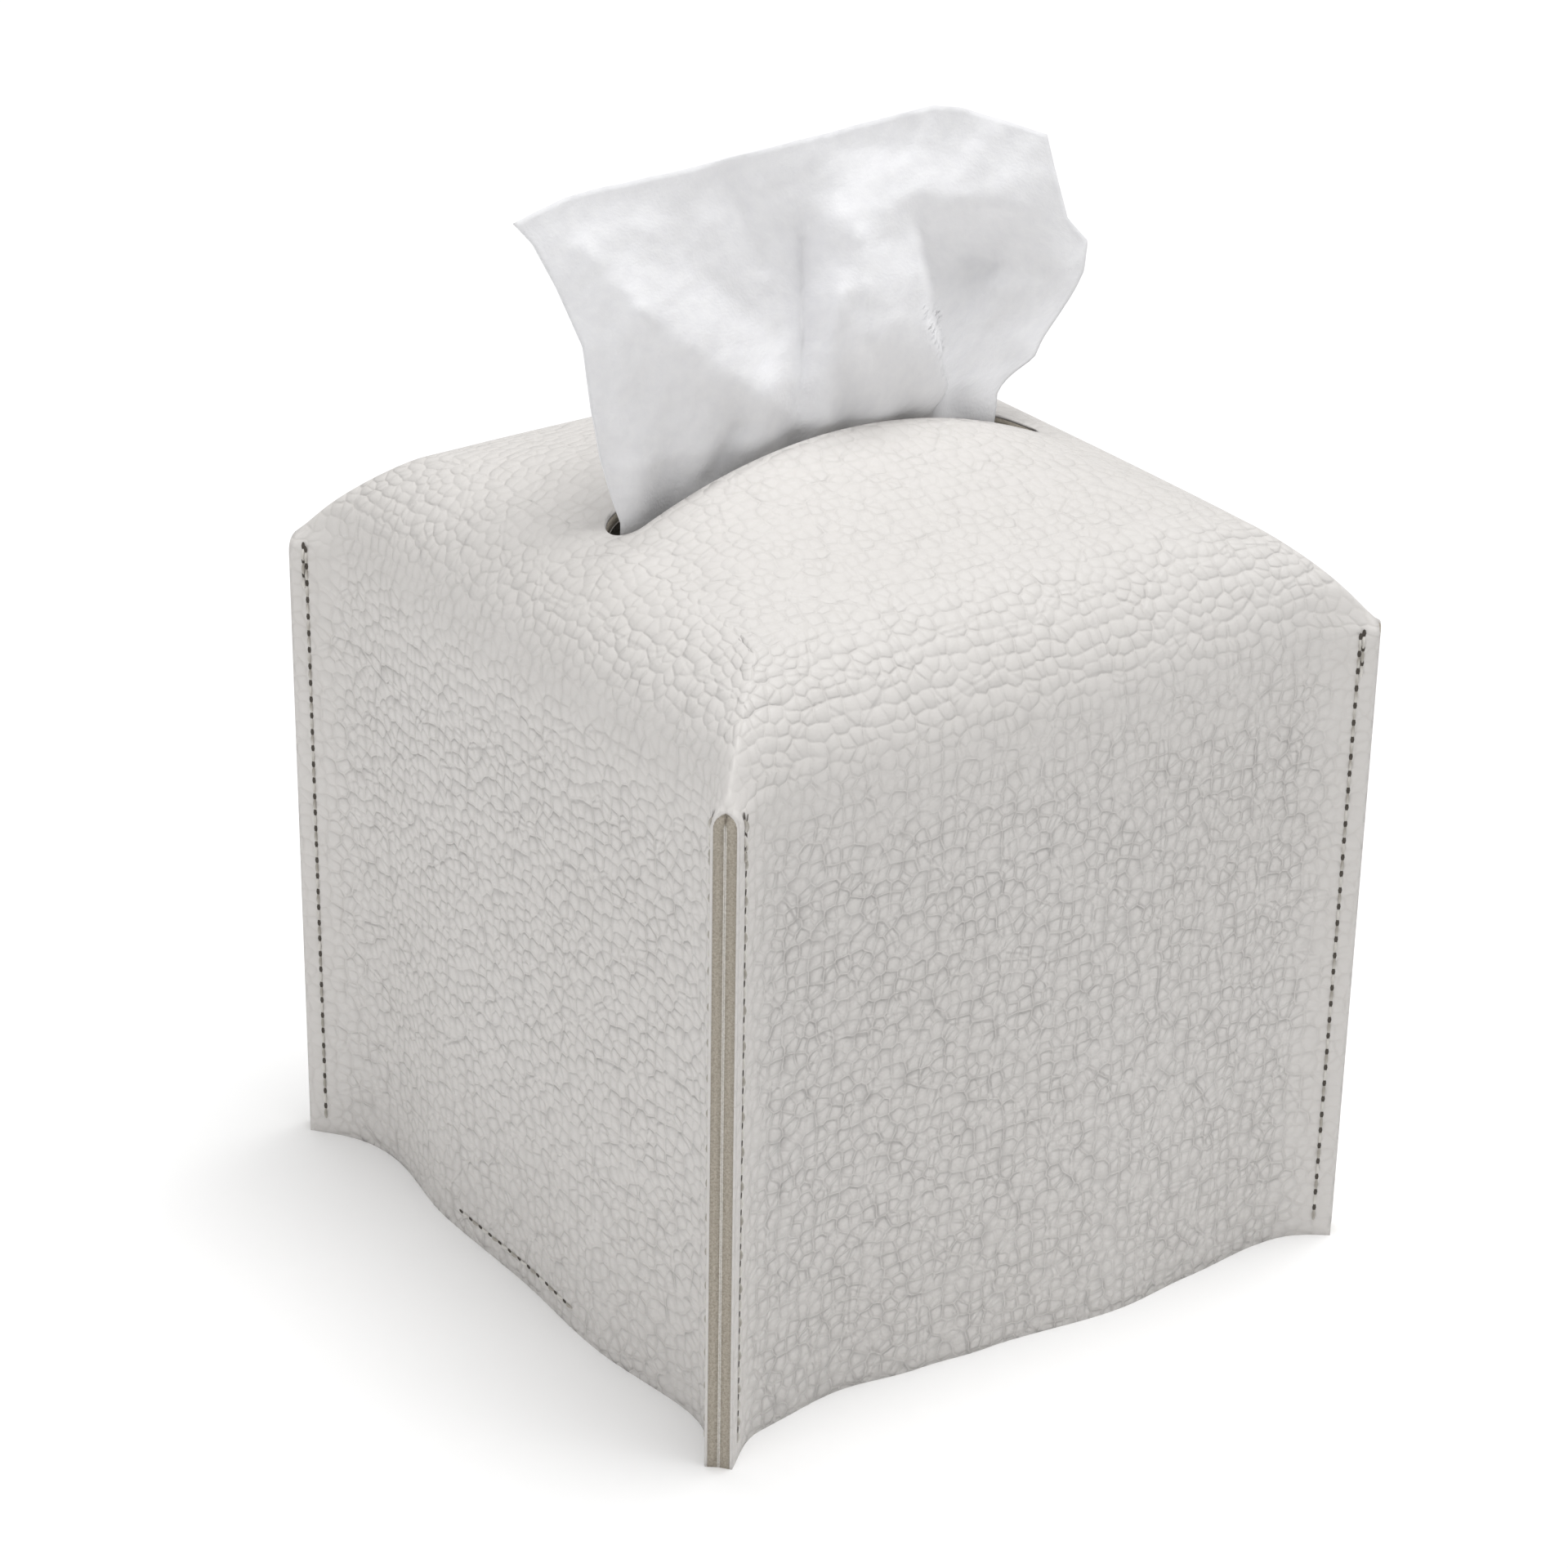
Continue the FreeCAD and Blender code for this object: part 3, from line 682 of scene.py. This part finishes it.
# two ply tissue: soft dry paper, faintly creped and dull
tissueLook = {
    "paper": "#F8F8F9", "thin": "#EEEEF1",
    "crepe": 0.6, "fibre": 2.2, "fibreRise": 1.5, "strength": 0.35, "depth": 0.15,
}


def softTissue():
    look = tissueLook
    material, tree, shader = newMaterial("creped two ply tissue paper")
    flat = addNode(tree, "ShaderNodeUVMap", {"uv_map": "ply"}).outputs[0]
    crepe = flatNoise(tree, flat, look["crepe"], 2.0)
    fibre = flatNoise(tree, flat, look["fibre"], 4.0)
    height = mathNode(tree, "MULTIPLY_ADD", fibre, look["fibreRise"], crepe)
    setInputs(tree, shader, {
        "Base Color": mixColours(tree, fibre, look["thin"], look["paper"]),
        "Normal": reliefOf(tree, height, look["strength"], look["depth"]),
        "Roughness": 0.95, "Specular IOR Level": 0.1, "Sheen Weight": 0.15})
    return material


tissueSizes = {
    "tail": 118.0, "width": 104.0, "length": 74.0, "thick": 0.3, "slotDepth": 3.0, "ragged": 0.2,
    "columns": 110, "rows": 84, "eye": (-385.2, -527.1, 392.1), "slideFrom": 142.0, "slideTo": 158.0,
}
# the sheet's two side edges by height, and its top edge across
tissueLeft = [
    (118, -41), (134.5, -41), (146, -44.5), (155, -46.4), (165.6, -47.9), (176, -52.6),
    (184, -56.9), (187.8, -60.3), (195, -60.3),
]
tissueRight = [
    (118, 33.4), (135.7, 33.4), (141.3, 34.9), (145.8, 43.4), (151.8, 47.8), (159.7, 52.3),
    (164.9, 52.8), (169.7, 48.2), (178.8, 45), (185, 43), (195, 43),
]
tissueTop = [(0, 187.8), (0.09, 190.5), (0.34, 191.3), (0.77, 193.7), (0.83, 192.2), (1, 185)]
tissueLean = [(118, 0.0), (144, 0.0), (172, 4.8), (195, 6.6)]  # how far back by height
# creases as two ends in x and z, how far each stands forward, and how fast it falls off to each side
tissueCreases = [
    ((-37, 169.4), (-5.4, 143.8), 4.7, 12.0), ((-5.6, 140.0), (-6.4, 176.0), -5.5, 4.5),
    ((-37, 169.4), (-48, 182.0), 3.0, 9.0), ((9.0, 142.0), (6.0, 174.0), 5.6, 10.0),
    ((0.0, 177.5), (17.7, 179.7), 1.4, 6.0), ((17.7, 179.7), (36.0, 174.0), 2.0, 7.0),
    ((31.0, 150.0), (38.0, 172.0), 2.6, 6.0), ((-18.0, 146.0), (-24.0, 139.0), -3.5, 4.0),
    ((-30.0, 178.0), (-12.0, 160.0), -2.2, 7.0), ((20.0, 186.0), (2.0, 190.0), -1.2, 7.0),
    ((44.0, 160.0), (30.0, 166.0), -1.4, 6.0), ((-2.0, 165.0), (12.0, 152.0), 0.9, 5.0),
    ((-12.0, 152.0), (-16.0, 142.0), 2.6, 3.0), ((-2.0, 145.0), (2.0, 165.0), 2.0, 2.4),
    ((-20.0, 186.0), (-14.0, 172.0), -2.6, 4.5),
]
# the front lobe's free edge, behind which the sheet drops back
lobeEdge = [(138, 18.5), (140.7, 19.5), (145.5, 23.3), (150.4, 22.3), (160.4, 19.4), (170.3, 17.3), (176, 15)]
# how strong the lobe's step, the lean of the top, the slot's pleats and the crumples are, and where they start and end
tissueFolds = {
    "lobeBack": 8.5, "lobeSet": 3.5, "lobeEase": 0.6, "topBack": 1.0, "pleat": 0.7, "pleatFree": 0.5,
    "broad": 0.9, "middling": 0.45, "ridge": 0.6, "fine": 0.22, "heldShare": 0.35, "creaseRound": 0.5,
    "lobeLow": (136, 146), "lobeHigh": (164, 178), "topBand": (176, 194), "pleatBand": (138, 160),
    "freeBand": (140, 158), "stepBand": (-1.0, 1.6), "easeBand": (8, 28), "leadBand": (-20, -6),
}


def creaseDepth(x, z, start, end, forward, fall):
    across, height = end[0] - start[0], end[1] - start[1]
    share = ((x - start[0]) * across + (z - start[1]) * height) / (across ** 2 + height ** 2)
    held = min(max(share, 0.0), 1.0)
    away = math.hypot(x - start[0] - held * across, z - start[1] - held * height)
    return -forward * math.exp(-math.sqrt(away * away + tissueFolds["creaseRound"]) / fall)


def tissueDepth(x, z):
    # how far back a point of the sheet lies
    folds = tissueFolds
    depth = sum(creaseDepth(x, z, *crease) for crease in tissueCreases)
    lobe = smoothStep(*folds["lobeLow"], z) * (1 - smoothStep(*folds["lobeHigh"], z))
    past = x - along(lobeEdge, z)[0]
    step = folds["lobeBack"] * smoothStep(*folds["stepBand"], past) - folds["lobeSet"]
    ease = 1 - folds["lobeEase"] * smoothStep(*folds["easeBand"], past)
    depth += lobe * step * ease * smoothStep(*folds["leadBand"], past)
    depth += folds["topBack"] * smoothStep(*folds["topBand"], z)
    pleats = folds["pleat"] * math.sin(x * 0.55 + 0.6 * math.sin(x * 0.13))
    pleats *= 1 - smoothStep(*folds["pleatBand"], z)
    crumple = folds["broad"] * noise.noise(Vector((x * 0.07, z * 0.07, 3.1)))
    crumple += folds["middling"] * noise.noise(Vector((x * 0.19, z * 0.17, 7.7)))
    crumple += folds["ridge"] * abs(noise.noise(Vector((x * 0.09 + z * 0.03, z * 0.11, 5.5))))
    fine = folds["fine"] * noise.noise(Vector((x * 0.5, z * 0.42, 1.3)))
    free = depth + crumple + fine
    # between the lips the sheet keeps to the slot, and above them it comes free
    limit = tissueSizes["slotDepth"]
    held = limit * math.tanh((folds["heldShare"] * free + pleats) / limit)
    return held + (free + folds["pleatFree"] * pleats - held) * smoothStep(*folds["freeBand"], z)


def tissuePiece():
    size = tissueSizes
    bm = bmesh.new()
    ply = bm.loops.layers.uv.new("ply")
    verts = bmesh.ops.create_grid(bm, x_segments=size["columns"], y_segments=size["rows"], size=1.0)["verts"]
    flats = {}
    for vert in verts:
        share, rise = (vert.co.x + 1) / 2, (vert.co.y + 1) / 2
        flats[vert] = (share * size["width"], rise * size["length"])
        top = along(tissueTop, share, soft=False)[0]
        top += size["ragged"] * noise.noise(Vector((share * 14, 0.2, 0.4)))
        z = size["tail"] + (top - size["tail"]) * rise
        left, right = along(tissueLeft, z, soft=False)[0], along(tissueRight, z, soft=False)[0]
        x = left + (right - left) * share
        depth = tissueDepth(x, z) + along(tissueLean, z, soft=False)[0]
        # slid along the camera's line of sight, so that the folds do not move the outline it sees
        slide = depth * smoothStep(size["slideFrom"], size["slideTo"], z) / -size["eye"][1]
        vert.co = (x + (x - size["eye"][0]) * slide, depth, z + (z - size["eye"][2]) * slide)
    for face in bm.faces:
        for loop in face.loops:
            loop[ply].uv = flats[loop.vert]
    bmesh.ops.recalc_face_normals(bm, faces=bm.faces)
    bmesh.ops.scale(bm, vec=(mm, mm, mm), verts=bm.verts)
    piece = makePiece("tissueSheet", bm, [softTissue()], "tissue", ["tissue_sheet"])
    wall = piece.modifiers.new("thickness", "SOLIDIFY")
    wall.thickness = size["thick"] * mm
    wall.offset = 0.0


tissuePiece()
print("tissue ready")

# studio: white floor and surround, a broad soft key from above right and a weaker fill from the left
studio = {
    "eye": (-385.23, -527.08, 392.09), "right": (0.8173, -0.5757, 0.0157), "back": (-0.524, -0.732, 0.434),
    "lens": 97.6, "sensor": 36.0, "floorHalf": 20.0, "floor": "#FDFDFD", "glow": 0.04, "surround": 0.33,
}
# place, aim, side and power of each soft box
softBoxes = {
    "key": ((1.02, -0.36, 6.0), (0, 0, 0.1), 4.5, 330.0),
    "leftFill": ((-1.7, -0.35, 0.7), (0, 0, 0.07), 0.9, 4.2),
}
back = Vector(studio["back"]).normalized()
right = Vector(studio["right"])
right = (right - back * right.dot(back)).normalized()
camera = bpy.data.objects.new("camera", bpy.data.cameras.new("camera"))
camera.data.lens = studio["lens"]
camera.data.sensor_width = studio["sensor"]
turned = Matrix((right, back.cross(right), back)).transposed().to_4x4()
camera.matrix_world = Matrix.Translation(Vector(studio["eye"]) * mm) @ turned
bpy.context.scene.collection.objects.link(camera)
bpy.context.scene.camera = camera

floorMesh = bmesh.new()
bmesh.ops.create_grid(floorMesh, x_segments=1, y_segments=1, size=studio["floorHalf"])
floorData = bpy.data.meshes.new("floor")
floorMesh.to_mesh(floorData)
floorMesh.free()
floor = bpy.data.objects.new("floor", floorData)
bpy.context.scene.collection.objects.link(floor)
# matt white paper, lit a little from below as a product table is
paper, paperTree, paperShader = newMaterial("matt white backdrop paper")
setInputs(paperTree, paperShader, {
    "Base Color": linear(studio["floor"]), "Roughness": 0.9,
    "Emission Color": linear("#FFFFFF"), "Emission Strength": studio["glow"]})
floorData.materials.append(paper)

world = bpy.data.worlds.new("studio")
bpy.context.scene.world = world
world.use_nodes = True
setInputs(world.node_tree, world.node_tree.nodes["Background"],
          {"Color": (1.0, 1.0, 1.0, 1.0), "Strength": studio["surround"]})


def softBox(name, place, target, side, power):
    light = bpy.data.lights.new(name, "AREA")
    light.size = side
    light.energy = power
    lamp = bpy.data.objects.new(name, light)
    lamp.location = Vector(place)
    lamp.rotation_mode = "QUATERNION"
    lamp.rotation_quaternion = (Vector(target) - Vector(place)).to_track_quat("-Z", "Y")
    bpy.context.scene.collection.objects.link(lamp)


for name, (place, target, side, power) in softBoxes.items():
    softBox(name, place, target, side, power)
bpy.context.scene.view_settings.view_transform = "Standard"
print("studio ready")
